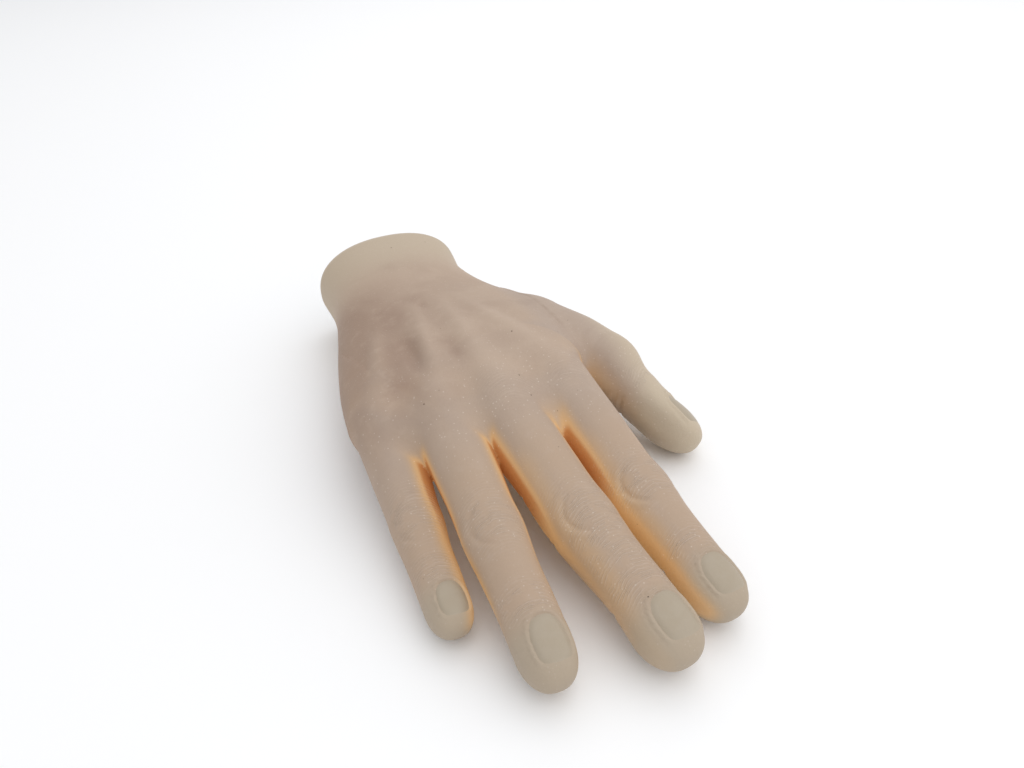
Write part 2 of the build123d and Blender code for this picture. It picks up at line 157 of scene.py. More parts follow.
DIGITS = [
    Digit("index", (24, -116, 6.5), -135, [
        (0, 11.2, 10.5, 11), (0.5, 10.5, 10.2, 11), (1, 9.7, 9.6, 10.2), (1.5, 9.5, 9.2, 9.8),
        (2, 10.0, 9.5, 9.0), (2.5, 8.7, 8.4, 8.6), (3, 8.2, 7.6, 7.4), (3.45, 8.2, 6.6, 7.2)],
        12.2, (10.8, 14.6), 1.4),
    Digit("middle", (2, -118, 8.5), -135, [
        (0, 11.2, 10.5, 11), (0.5, 10.6, 10.4, 11), (1, 9.9, 9.9, 10.4), (1.5, 9.7, 9.4, 10),
        (2, 10.0, 9.8, 10.2), (2.5, 8.8, 8.7, 8.8), (3, 8.6, 7.9, 7.7), (3.45, 8.7, 6.9, 7.4)],
        12.4, (12.0, 15.6), 1.5),
    Digit("ring", (-15, -114, 6.5), -130, [
        (0, 10.6, 10, 10.5), (0.5, 10, 9.8, 10.4), (1, 9.2, 9.3, 9.8), (1.5, 8.9, 8.8, 9.4),
        (2, 9.1, 9.2, 8.8), (2.5, 8.1, 8.0, 8.4), (3, 7.9, 7.4, 7.2), (3.45, 7.7, 6.6, 7.0)],
        12.2, (10.4, 15.0), 0.9),
    Digit("little", (-32, -106, 2), -124, [
        (0, 9.8, 9, 9.5), (0.5, 9, 8.7, 9), (1, 8.2, 8.2, 8.6), (1.5, 7.9, 7.9, 8.2), (2, 7.9, 7.9, 7.6),
        (2.5, 7.0, 6.9, 7.2), (3, 6.8, 6.4, 6.3), (3.45, 6.5, 5.7, 6.0)],
        10.6, (8.6, 12.4), 1.0),
    Digit("thumb", (36, -74, 2.3), -100, [
        (0, 12.6, 12.6, 12.6), (0.5, 11.5, 11.5, 11.5), (1, 10.4, 8.4, 10.4), (1.5, 9.7, 7.8, 9.4),
        (2, 9.8, 8.2, 9.0), (2.45, 9.4, 6.9, 8.6)],
        14.6, (12.8, 15.0), 0),
]
THUMB = DIGITS[-1]

# the palm's sections: y, centre x, half width, lowest z, highest z, lean towards the little finger in degrees
PALM = np.array([
    (2, 1.6, 29.4, -19.2, 19.4, 0), (-8, 1.2, 28.5, -19.2, 18.9, 0), (-20, 0.5, 27.6, -19.2, 18.4, 0),
    (-32, 0.2, 28.6, -19.3, 18.3, 0), (-46, 0, 31.6, -19.4, 18.5, 1), (-64, 1, 37.4, -19, 19.5, 3),
    (-84, 0, 40.6, -16.5, 20.8, 5), (-102, -2, 40.5, -13, 20.2, 7), (-116, -4, 38.5, -11, 17.5, 8),
    (-132, -5, 36, -9, 12, 8)], float)[::-1]
# where the palm's casting ends between the digits: x and y along its edge
PALM_END = ((-42, -110), (-33, -120), (-24, -125), (-5, -129.5), (15, -130), (28, -125), (42, -112))
RIM_SIZE = (25.5, 15.7)  # half sizes of the opening that the wrist plate closes
RIM_X = 1.3
RIM_DEPTH = 12.5  # of the opening, inwards from the wrist's end
RIM_ROUND = 4.5
NAIL_SETBACK = 2.4  # of a nail's front edge from the digit's tip
NAIL_POWER = 2.5  # how square a nail's outline is


def palm_distance(p):
    x, y, z = p.T
    ys = PALM[:, 0]
    centre, half, low, high, lean = (along_curve(y, ys, PALM[:, i]) for i in range(1, 6))
    tilt = np.radians(lean)
    u = (x - centre) * np.cos(tilt) + (z - (low + high) / 2) * np.sin(tilt)
    v = -(x - centre) * np.sin(tilt) + (z - (low + high) / 2) * np.cos(tilt)
    end = along_curve(x, *np.array(PALM_END, float).T)
    w = np.clip(end + 14 - y, 0, None)
    half_height = (high - low) / 2
    return section_distance(u, v, w, half, half_height, half_height, 14.0, 2.25)


def thenar_distance(p):
    """The ball of the thumb: a tapering form from the wrist to the thumb's first hinge."""
    start, end = np.array((17.0, -36, -3)), THUMB.points[1]
    axis = (end - start) / np.linalg.norm(end - start)
    s = (p - start) @ axis
    side = np.array((cos(radians(32)), sin(radians(32)), 0.2))
    side -= axis * side.dot(axis)
    side /= np.linalg.norm(side)
    up = np.cross(axis, side)
    q = p - start
    where = [0, 25, 45, np.linalg.norm(end - start)]
    wide = along_curve(s, where, [11, 13.5, 12.8, 10.3])
    above = along_curve(s, where, [11, 12.5, 12, 10.2])
    below = along_curve(s, where, [13, 15, 12.5, 10.4])
    past = np.where(s < 0, -s, np.clip(s - where[-1], 0, None))
    return section_distance(q @ side, q @ up, past, wide, above, below, 14.0, 2.1)


def web_distance(p):
    """The fold of skin between the thumb and the palm."""
    q = p - np.array((38.0, -88, 0))
    turn = radians(28)
    u = q[:, 0] * cos(turn) + q[:, 1] * sin(turn)
    w = -q[:, 0] * sin(turn) + q[:, 1] * cos(turn)
    return section_distance(u, q[:, 2], w, 12.0, 7.0, 7.0, 17.0, 2.0)


def digit_distance(digit, p):
    s, u, v = digit.local(p)
    u = u - along_curve(s, digit.drift[0], digit.drift[1])
    v = v - along_curve(s, digit.drift[0], digit.drift[2])
    half, above, below = (along_curve(s, digit.where, digit.sections[:, i]) for i in (1, 2, 3))
    past = np.where(s < 0, -s, np.clip(s - (digit.length - digit.cap), 0, None))
    power = 2.15 + 0.25 * ease((s - digit.length + 24) / 14)
    return section_distance(u, v, past, half, above, below, digit.cap, power)


def near(p, value, function, low, high):
    """A distance worked out only inside a box, and left large elsewhere."""
    inside = np.all((p > low) & (p < high), axis=1)
    out = np.full(len(p), value)
    out[inside] = function(p[inside])
    return out


def skin_distance(p):
    """Distance to the outside of the silicone, in millimetres."""
    y = p[:, 1]
    fingers = None
    for digit in DIGITS[:-1]:
        reach = np.array((22, 24, 22))
        low = np.minimum(digit.points[0], digit.points[-1]) - reach
        high = np.maximum(digit.points[0], digit.points[-1]) + reach
        d = near(p, 12.0, lambda q: digit_distance(digit, q), low, high)
        if fingers is None:
            fingers = d
        else:
            fillet = 0.05 + 5.5 * ease((y - digit.web_y + 5) / 9)
            fingers = melt(fingers, d, fillet)
    palm = melt(palm_distance(p), thenar_distance(p), 9.0)
    palm = melt(palm, web_distance(p), 6.0)
    thumb = near(p, 12.0, lambda q: digit_distance(THUMB, q), (10, -160, -40), (90, -50, 40))
    skin = melt(palm, fingers, 5.0)
    skin = melt(skin, thumb, 4.0)
    rim = -melt(-skin, -y, RIM_ROUND)
    x, z = (p[:, 0] - RIM_X) / RIM_SIZE[0], p[:, 2] / RIM_SIZE[1]
    k = np.sqrt(x * x + z * z) + 1e-6
    hole = (k - 1) * k / np.maximum(np.sqrt((x / RIM_SIZE[0]) ** 2 + (z / RIM_SIZE[1]) ** 2), 1e-4)
    hole = np.maximum(hole, -(y + RIM_DEPTH))
    return -melt(-rim, hole, 1.6)


def field_mesh():
    """The zero surface of the field as points and quads."""
    low = np.array((-48, -215, -25.0))
    high = np.array((72, 5, 26.0))
    slab = 24  # voxels across that are worked out at a time
    size = np.ceil((high - low) / VOXEL).astype(int)
    values = np.empty(size, np.float32)
    ys = low[1] + VOXEL * np.arange(size[1])
    zs = low[2] + VOXEL * np.arange(size[2])
    for i in range(0, size[0], slab):
        xs = low[0] + VOXEL * np.arange(i, min(i + slab, size[0]))
        grid = np.stack(np.meshgrid(xs, ys, zs, indexing="ij"), -1).reshape(-1, 3)
        values[i:i + slab] = skin_distance(grid).reshape(len(xs), size[1], size[2])
    values = np.clip(values, -3 * VOXEL, 3 * VOXEL)
    grid = openvdb.FloatGrid(3 * VOXEL)
    grid.copyFromArray(values)
    points, quads = grid.convertToQuads(0.0)
    return np.asarray(points) * VOXEL + low, np.asarray(quads)


def gradient(p, step=0.3):
    out = np.empty_like(p)
    for i in range(3):
        d = np.zeros(3)
        d[i] = step
        out[:, i] = (skin_distance(p + d) - skin_distance(p - d)) / (2 * step)
    return out


# ---------- creases, tendons and pads of the cast ----------
# tendons on the back of the hand, from the wrist to each knuckle
TENDONS = (((8, -30), (14, -80), (25, -116)), ((3, -30), (3, -85), (2.5, -118)),
           ((-3, -30), (-9.5, -83), (-16.5, -114)), ((-13, -30), (-24, -75), (-33, -105)))
TENDON_RISE = 0.6
KNUCKLE_RISE = (1.0, 1.3, 0.9, 0.9)
# hollows on the back: centre, half sizes, depth, how mauve
HOLLOWS = (
    ((-16.6, -89), (2.8, 10.5), 1.3, 1.0), ((-21.5, -86), (4.5, 9), 0.15, 0.45),
    ((-3.8, -95), (2.6, 9), 0.45, 0.7), ((-15.6, -64), (7, 10), 0.15, 0.7), ((-5, -56), (4, 5), 0.1, 0.6),
    ((-3.2, -62), (2.0, 3.6), 0.4, 0.6), ((-27, -54), (6, 9), 0.1, 0.55), ((-31, -66), (5, 12), 0.1, 0.6),
    ((-4, -28), (4.5, 4), 0, 0.5),
)
# swellings beside the hollows: centre x, y, half sizes, height
SWELLINGS = ((-11, -88, 2.8, 17, 0.55), (-25.8, -82, 3.6, 14, 0.45), (30, -82, 9, 16, 0.9))
VALLEYS = ((14, -121, 0.7), (-7, -120, 0.7), (-24.5, -111, 0.35))  # between the knuckles: x, y, depth
# creases of the palm's underside, as arcs: centre, radius, half thickness of the groove
PALM_CREASES = (((40, -98), 31, 0.7), ((-4, -168), 62, 0.7), ((6, -178), 84, 0.65))


def dorsal_relief(p, n):
    """Tendons, knuckles and hollows on the back of the hand: rise, how hollow and how much on a tendon."""
    x, y = p[:, 0], p[:, 1]
    top = ease((n[:, 2] - 0.15) / 0.5)
    rise = np.zeros(len(p))
    ridge = np.zeros(len(p))
    for line, knuckle in zip(TENDONS, KNUCKLE_RISE):
        line = np.array(line, float)[::-1]
        centre = along_curve(y, line[:, 1], line[:, 0])
        width = 2.6 + 2.0 * ease((-70 - y) / 40)
        strength = ease((-54 - y) / 34) * ease((y + 122) / 14)
        ridge = np.maximum(ridge, strength * bump(x - centre, width))
        kx, ky = line[0]
        rise += knuckle * np.exp(-((x - kx) / 7) ** 2 - ((y - ky - 1) / 8) ** 2)
    between = ease((-28 - y) / 22) * ease((y + 112) / 16) * (np.abs(x + 0.12 * (y + 60)) < 34)
    rise += TENDON_RISE * ridge - 0.35 * between * (1 - ridge)
    for vx, vy, depth in VALLEYS:
        rise -= depth * np.exp(-((x - vx) / 5) ** 2 - ((y - vy) / 9) ** 2)
    hollow = 0.12 * between * (1 - ridge)
    for (hx, hy), (wide, long), depth, mauve in HOLLOWS:
        spot = np.exp(-((x - hx) / wide) ** 2 - ((y - hy) / long) ** 2)
        rise -= depth * spot
        hollow = np.maximum(hollow, mauve * spot)
    for hx, hy, wide, long, height in SWELLINGS:
        rise += height * np.exp(-((x - hx) / wide) ** 2 - ((y - hy) / long) ** 2)
    return rise * top, np.clip(hollow, 0, 1) * top, ridge * top


def palmar_relief(p, n):
    """The creases of the palm's underside."""
    under = ease((-n[:, 2] - 0.2) / 0.4) * ease((-30 - p[:, 1]) / 14)
    groove = np.zeros(len(p))
    for (cx, cy), radius, width in PALM_CREASES:
        r = np.hypot(p[:, 0] - cx, p[:, 1] - cy)
        groove = np.maximum(groove, bump(r - radius, width * 1.2))
    return -0.7 * groove * under


def nail_outline(digit, s, u):
    """1 on the nail's outline and less inside it, and how far a point lies past the nail's middle."""
    width, length = digit.nail
    middle = digit.length - NAIL_SETBACK - length / 2
    along, across = (s - middle) / (length / 2), (u - digit.nail_shift) / (width / 2)
    return (np.abs(along) ** NAIL_POWER + np.abs(across) ** NAIL_POWER) ** (1 / NAIL_POWER), s - middle


def digit_relief(digit, p, n):
    """Rise of a digit's skin, its fold coordinate, where its folds show, and how near its tip is."""
    s, u, v = digit.local(p)
    u = u - along_curve(s, digit.drift[0], digit.drift[1])
    lean = n @ digit.nail_side
    top = ease((lean - 0.05) / 0.45)
    under = ease((-lean - 0.1) / 0.5)
    rise = np.zeros(len(p))
    mask = np.zeros(len(p))
    hinges = digit.at[1:-1]
    fold = s - 0.042 * u * u
    last = len(hinges) - 1
    for i, at in enumerate(hinges):
        groove = bump(s - at - (1.0 if i == 0 else 0), 0.9) + (0.6 * bump(s - at + 2.6, 0.7) if i == 1 else 0)
        rise -= (0.75 if i < last else 0.55) * groove * under
        if i == 0:
            continue
        reach = 9.5 if i == 1 and len(hinges) == 3 else 5.0
        zone = np.exp(-np.abs((s - at + 0.5) / reach) ** 2.6)
        mask = np.maximum(mask, zone * top)
        rise += 0.28 * bump(s - at, 5.0) * bump(u, 5.5) * top
        rise -= 0.10 * bump(s - at - 5.2, 1.6) * top
        if i == 1 and digit is not THUMB:
            r = np.hypot(s - at - 1.0, u)
            arc = bump(r - 7.2, 0.55) * ease((-u - 1.5) / 3.0) * ease((lean + 0.35) / 0.4)
            rise -= 0.34 * arc
            rise += 0.16 * bump(r - 8.6, 0.9) * ease((-u - 1.5) / 3.0) * ease((lean + 0.35) / 0.4)
    if digit.name == "middle":
        mask = np.maximum(mask, 0.9 * ease((s - hinges[1] + 9) / 5) * ease((hinges[2] + 4 - s) / 5) * top)
    pads = bump(s - (hinges[-1] + digit.length) / 2, 7.0)
    for a, b in zip(hinges[:-1], hinges[1:]):
        pads = pads + bump(s - (a + b) / 2, (b - a) / 3.2)
    rise += 0.5 * pads * under
    q, past = nail_outline(digit, s, u)
    behind = 1 - ease((past - 0.25 * digit.nail[1]) / 2.0)
    rise -= 0.62 * (1 - ease((q - 0.86) / 0.12)) * (1 - ease((past - 0.22 * digit.nail[1]) / 2.5)) * top
    rise += (0.30 * bump(q - 1.06, 0.075) + 0.12 * bump(q - 1.27, 0.05)) * behind * top
    rise -= 0.14 * bump(q - 1.17, 0.05) * behind * top
    tip = ease((s - hinges[-1] + 1) / 12)
    return rise, fold, mask, tip


def shelter(p, n):
    """How much of the sky the skin hides from itself: 0 in the open, 1 deep between two digits."""
    out = np.zeros(len(p))
    for h, weight in ((2.5, 0.10), (5.0, 0.20), (9.0, 0.32), (14.0, 0.38)):
        seen = skin_distance(p + n * h)
        out += weight * np.clip(1 - seen / h, 0, 1.5)
    return np.clip(out, 0, 1)


def part_at_hinges(points, quads):
    """The mesh, split along planes across the digits, so that pieces can part there."""
    mesh = bpy.data.meshes.new("skin")
    mesh.from_pydata(points.tolist(), [], quads.tolist())
    bm = bmesh.new()
    bm.from_mesh(mesh)
    bpy.data.meshes.remove(mesh)
    bm.faces.ensure_lookup_table()
    centre = points[quads].mean(axis=1)
    owner = nearest_digit(centre)
    cuts = []
    for i, digit in enumerate(DIGITS):
        s, u, v = digit.local(centre)
        for cut in digit.cuts:
            close = np.flatnonzero((np.abs(s - cut) < 2) & (np.hypot(u, v) < 17) & (owner == i))
            cuts.append((digit, cut, [bm.faces[j] for j in close]))
    for digit, cut, faces in cuts:
        edges = {e for f in faces for e in f.edges}
        verts = {v for f in faces for v in f.verts}
        bmesh.ops.bisect_plane(bm, geom=faces + list(edges) + list(verts), dist=1e-5,
                               plane_co=digit.world(cut, 0.0, 0.0), plane_no=digit.axis)
    points = np.array([v.co for v in bm.verts])
    faces = [[v.index for v in f.verts] for f in bm.faces]
    bm.free()
    return points, faces


def nearest_digit(p):
    """Index of the digit whose surface is nearest to each point, wherever the point is."""
    return np.argmin([digit_distance(digit, p) for digit in DIGITS], axis=0)


# zones: the stretch of skin that bends at each hinge; cuts: where one piece ends and the next begins
for digit in DIGITS:
    digit.zones = []
    digit.cuts = []
    for i, at in enumerate(digit.at[1:-1], 1):
        before = digit.at[i] - digit.at[i - 1] if i > 1 else 15.0
        reach = min(min(before, digit.at[i + 1] - at) / 2 - 0.4, 6.6)
        digit.zones.append((at - reach, at + reach))
        digit.cuts.append(at - reach - 0.4 if i == 1 else (digit.at[i - 1] + at) / 2)


# how far the painted amber shade on each digit's sides spreads: on its little finger's side, on its thumb's side
SIDE_SHADE_SPREAD = {"index": (0.4, 0), "middle": (0.34, 0.1), "ring": (0.1, 0.22), "little": (0, 0.14),
             "thumb": (0.12, 0)}


def to_surface(points):
    """The points, moved along the field's slope onto its zero surface."""
    slope = gradient(points)
    return points - slope * (skin_distance(points) / np.maximum((slope ** 2).sum(1), 0.2))[:, None]


def sculpt_skin():
    """The whole skin as points and faces, with the values that its colour and folds are painted from."""
    points, quads = field_mesh()
    points, faces = part_at_hinges(to_surface(to_surface(points)), quads)
    points = to_surface(points)
    slope = gradient(points)
    n = slope / np.linalg.norm(slope, axis=1)[:, None]
    owner = nearest_digit(points)
    hidden = shelter(points, n)
    rise, hollow, ridge = dorsal_relief(points, n)
    rise += palmar_relief(points, n)
    # the painted amber shade is weaker beside the thumb, where the skin is open to the light
    by_thumb = ease((points[:, 0] - 24) / 10) * ease((points[:, 1] + 104) / 14)
    fold, mask, tip = np.zeros(len(points)), np.zeros(len(points)), np.zeros(len(points))
    for i, digit in enumerate(DIGITS):
        s = digit.local(points)[0]
        own = np.flatnonzero((owner == i) & (s > 4))
        if digit.name == "thumb":
            by_thumb[own] = np.maximum(by_thumb[own], ease((s[own] - 4) / 8))
        else:
            hidden[own] *= 1 - 0.35 * ease((s[own] - digit.at[1]) / 22)
        r, f, m, t = digit_relief(digit, points[own], n[own])
        fade = ease((s[own] - 6) / 8)
        rise[own] = rise[own] * (1 - ease((s[own] - 8) / 10)) + r * fade
        fold[own], mask[own], tip[own] = f, m * fade, t
        lateral = n[own] @ digit.side
        little_side, thumb_side = SIDE_SHADE_SPREAD[digit.name]
        # painted shade: the sides of a digit that face its neighbours get the amber shade
        side_shade = little_side * ease((-lateral - 0.05) / 0.85) + thumb_side * ease((lateral - 0.1) / 0.85)
        side_shade *= ease((s[own] - digit.at[1] + 14) / 14) * (1 - 0.4 * t)
        hidden[own] = np.maximum(hidden[own], side_shade)
    # the knuckles of the middle and index fingers carry arc folds too
    for line in TENDONS[1:2] + TENDONS[:1]:
        kx, ky = line[2]
        near_knuckle = np.exp(-((points[:, 0] - kx - 1) / 8) ** 2 - ((points[:, 1] - ky + 1) / 8) ** 2)
        near_knuckle *= ease((n[:, 2] - 0.4) / 0.3)
        take = (near_knuckle > mask) & (near_knuckle > 0.05)
        fold[take] = -points[take, 1] - 0.04 * (points[take, 0] - kx) ** 2
        mask[take] = 0.7 * near_knuckle[take]
    hidden *= 1 - 0.62 * by_thumb
    rise *= 1 - ease((points[:, 1] + 6) / 4)  # the rim stays plain
    paint = {"shelter": hidden, "hollow": hollow, "ridge": ridge, "tip": tip, "fold": fold * MM,
             "fold_show": mask}
    return points + n * rise[:, None], faces, paint


def skin_pieces():
    """The skin's pieces, each with its digit and hinge, or with none for the palm's."""
    points, faces, paint = sculpt_skin()
    whole = bpy.data.meshes.new("whole_skin")
    whole.from_pydata((points * MM).tolist(), [], faces)
    whole.update()
    normals = np.empty(len(points) * 3, np.float32)
    whole.vertex_normals.foreach_get("vector", normals)
    normals = normals.reshape(-1, 3)
    centre = np.empty(len(faces) * 3)
    whole.polygons.foreach_get("center", centre)
    centre = centre.reshape(-1, 3) / MM
    bpy.data.meshes.remove(whole)
    owner = nearest_digit(centre)
    labels = np.zeros(len(faces), int)
    names = ["palm"]
    riders = [None]
    for i, digit in enumerate(DIGITS):
        s = digit.local(centre)[0]
        for k, cut in enumerate(digit.cuts):
            labels[(owner == i) & (s > cut)] = len(names)
            names.append(digit.bodies[k + 1])
            riders.append((digit, k))
    pieces = []
    for label, (name, rider) in enumerate(zip(names, riders)):
        chosen = np.flatnonzero(labels == label)
        used = sorted({v for f in chosen for v in faces[f]})
        place = {v: i for i, v in enumerate(used)}
        mesh = bpy.data.meshes.new(name + "_silicone")
        mesh.from_pydata((points[used] * MM).tolist(), [], [[place[v] for v in faces[f]] for f in chosen])
        for key, values in paint.items():
            layer = mesh.attributes.new(key, "FLOAT", "POINT")
            layer.data.foreach_set("value", values[used].astype(np.float32))
        mesh.polygons.foreach_set("use_smooth", [True] * len(chosen))
        mesh.update()
        mesh.normals_split_custom_set_from_vertices(normals[used].tolist())
        piece = bpy.data.objects.new(name + "_silicone", mesh)
        bpy.context.collection.objects.link(piece)
        pieces.append((piece, rider))
    return pieces


# ---------- nails ----------
def nail_piece(digit):
    """A nail: a thin plate that lies in its bed, with its back and sides under the fold of skin."""
    width, length = digit.nail
    middle = digit.length - NAIL_SETBACK - length / 2
    rings, spokes = ((16, 72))
    share = np.linspace(0, 1, rings + 1)[1:]
    turn = np.linspace(0, 2 * pi, spokes, endpoint=False)
    c, d = np.cos(turn), np.sin(turn)
    shape = (np.abs(c) ** NAIL_POWER + np.abs(d) ** NAIL_POWER) ** (-1 / NAIL_POWER)
    s = middle + np.multiply.outer(share, c * shape) * length / 2
    u = np.multiply.outer(share, d * shape) * width / 2
    s, u = np.append(s.ravel(), middle), np.append(u.ravel(), 0)
    r = np.append(np.repeat(share, spokes), 0)
    off_u = u + digit.nail_shift + along_curve(s, digit.drift[0], digit.drift[1])
    low = along_curve(s, digit.drift[0], digit.drift[2])
    high = low + 14
    for _ in range(22):  # halvings that find the skin's surface over the digit's line
        v = (low + high) / 2
        outside = skin_distance(digit.world(s, 0, 0) + np.multiply.outer(off_u, digit.side)
                                + np.multiply.outer(v, digit.nail_side)) > 0
        low, high = np.where(outside, low, v), np.where(outside, v, high)
    front = ease((s - middle) / (length / 2))
    top = v - 0.05 + 0.10 * (1 - r ** 2) - (0.42 - 0.18 * front) * np.clip(r - 0.72, 0, 1) / 0.28
    faces = []
    n = rings * spokes
    count = n + 1
    for k in range(spokes):
        m = (k + 1) % spokes
        faces.append((n, k, m))
        faces.append((count + n, count + m, count + k))
        for i in range(rings - 1):
            a, b = i * spokes, (i + 1) * spokes
            faces.append((a + k, b + k, b + m, a + m))
            faces.append((count + a + m, count + b + m, count + b + k, count + a + k))
        e = (rings - 1) * spokes
        faces.append((e + k, count + e + k, count + e + m, e + m))
    place = np.concatenate([digit.world(s, off_u, top), digit.world(s, off_u, top - 0.7)])
    mesh = bpy.data.meshes.new(digit.name + "_nail_plate")
    mesh.from_pydata((place * MM).tolist(), [], faces)
    for key, values in (("nail_along", (s - middle) / length), ("nail_edge", r)):
        layer = mesh.attributes.new(key, "FLOAT", "POINT")
        layer.data.foreach_set("value", np.tile(values, 2).astype(np.float32))
    mesh.polygons.foreach_set("use_smooth", [True] * len(faces))
    mesh.update()
    bm = bmesh.new()
    bm.from_mesh(mesh)
    if bm.calc_volume(signed=True) < 0:
        bmesh.ops.reverse_faces(bm, faces=bm.faces)
        bm.to_mesh(mesh)
    bm.free()
    piece = bpy.data.objects.new(digit.name + "_nail_plate", mesh)
    bpy.context.collection.objects.link(piece)
    return piece


# ---------- materials ----------
class Value:
    """A socket that adds a Math node for each operator it is used with."""

    def __init__(self, shader, socket):
        self.shader, self.socket = shader, socket

    def math(self, operation, *others):
        inputs = {0: self, **dict(enumerate(others, 1))}
        return self.shader.node("ShaderNodeMath", {"operation": operation}, inputs)

    def __add__(self, other):
        return self.math("ADD", other)

    def __sub__(self, other):
        return self.math("SUBTRACT", other)

    def __rsub__(self, other):
        return self.math("MULTIPLY", -1.0).math("ADD", other)

    def __mul__(self, other):
        return self.math("MULTIPLY", other)

    __radd__, __rmul__ = __add__, __mul__

    def clamp(self):
        return self.shader.node("ShaderNodeClamp", {}, {"Value": self})

    def ramp(self, low, high):
        """0 below low, 1 above high, smooth between."""
        return self.shader.node("ShaderNodeMapRange", {"interpolation_type": "SMOOTHSTEP"},
                                {"Value": self, "From Min": low, "From Max": high})


class Shader:
    """A material and its nodes."""

    def __init__(self, name, **constants):
        self.material = bpy.data.materials.new(name)
        self.material.use_nodes = True
        self.tree = self.material.node_tree
        self.bsdf = self.tree.nodes["Principled BSDF"]
        for key, value in constants.items():
            self.bsdf.inputs[key.replace("_", " ")].default_value = value

    def node(self, kind, settings=None, inputs=None, output=0):
        node = self.tree.nodes.new(kind)
        for key, value in (settings or {}).items():
            if key == "stops":
                ramp = node.color_ramp
                while len(ramp.elements) < len(value):
                    ramp.elements.new(0.5)
                for element, (at, colour) in zip(ramp.elements, value):
                    element.position, element.color = at, (*colour, 1)
            else:
                setattr(node, key, value)
        for key, value in (inputs or {}).items():
            if isinstance(value, Value):
                self.tree.links.new(value.socket, node.inputs[key])
            else:
                node.inputs[key].default_value = value
        return Value(self, node.outputs[output])

    def link(self, value, name):
        self.tree.links.new(value.socket, self.bsdf.inputs[name])

    def place(self):
        return self.node("ShaderNodeTexCoord", output="Object")

    def split(self, vector, axis):
        return self.node("ShaderNodeSeparateXYZ", {}, {0: vector}, output=axis)

    def attribute(self, name):
        return self.node("ShaderNodeAttribute", {"attribute_name": name}, output="Fac")

    def noise(self, place, size, detail=2.0, rough=0.5, twist=0.0):
        """Noise with features of about this size in metres."""
        return self.node("ShaderNodeTexNoise", {}, {"Vector": place, "Scale": 1 / size, "Detail": detail,
                                                    "Roughness": rough, "Distortion": twist})

    def mix(self, a, b, factor):
        node = self.tree.nodes.new("ShaderNodeMix")
        node.data_type = "RGBA"
        for socket, value in ((node.inputs["Factor"], factor), (node.inputs[6], a), (node.inputs[7], b)):
            if isinstance(value, Value):
                self.tree.links.new(value.socket, socket)
            elif isinstance(value, tuple):
                socket.default_value = (*value, 1)
            else:
                socket.default_value = value
        return Value(self, node.outputs[2])

    def bump(self, height, distance, strength=1.0, normal=None):
        inputs = {"Height": height, "Distance": distance, "Strength": strength}
        if normal is not None:
            inputs["Normal"] = normal
        return self.node("ShaderNodeBump", {}, inputs)


# the silicone's colours, as linear red, green and blue, with some painted light and shade among them
BEIGE = (0.415, 0.325, 0.262)
FINGER_TONE = (0.44, 0.325, 0.238)
MAUVE = (0.285, 0.205, 0.168)
PALE = (0.475, 0.38, 0.31)
# painted shade between the digits, warmed as by light coming through the silicone: amber, and deeper amber where
# the skin is most hidden from the sky
PAINTED_WARM_SHADE = (0.53, 0.35, 0.19)
PAINTED_DEEP_WARM_SHADE = (0.50, 0.24, 0.09)
CREAM = (0.47, 0.41, 0.32)
# painted light on the thumb: a lighter tone for its more strongly lit skin
THUMB_PAINTED_LIGHT = (0.54, 0.45, 0.335)
RIM_GREY = (0.60, 0.61, 0.61)
TIP_TONE = (0.415, 0.35, 0.268)
NAIL_TONE = (0.40, 0.332, 0.247)


def specks(shader, place, size, share, radius):
    """Scattered pin-sized dots: 1 inside a dot."""
    cells = shader.tree.nodes.new("ShaderNodeTexVoronoi")
    cells.inputs["Scale"].default_value = 1 / size
    shader.tree.links.new(place.socket, cells.inputs["Vector"])
    distance = Value(shader, cells.outputs["Distance"])
    pick = shader.split(Value(shader, cells.outputs["Color"]), "X")
    inside = 1 - distance.ramp(radius / size * 0.6, radius / size)
    return inside * (1 - pick.ramp(share * 0.9, share))


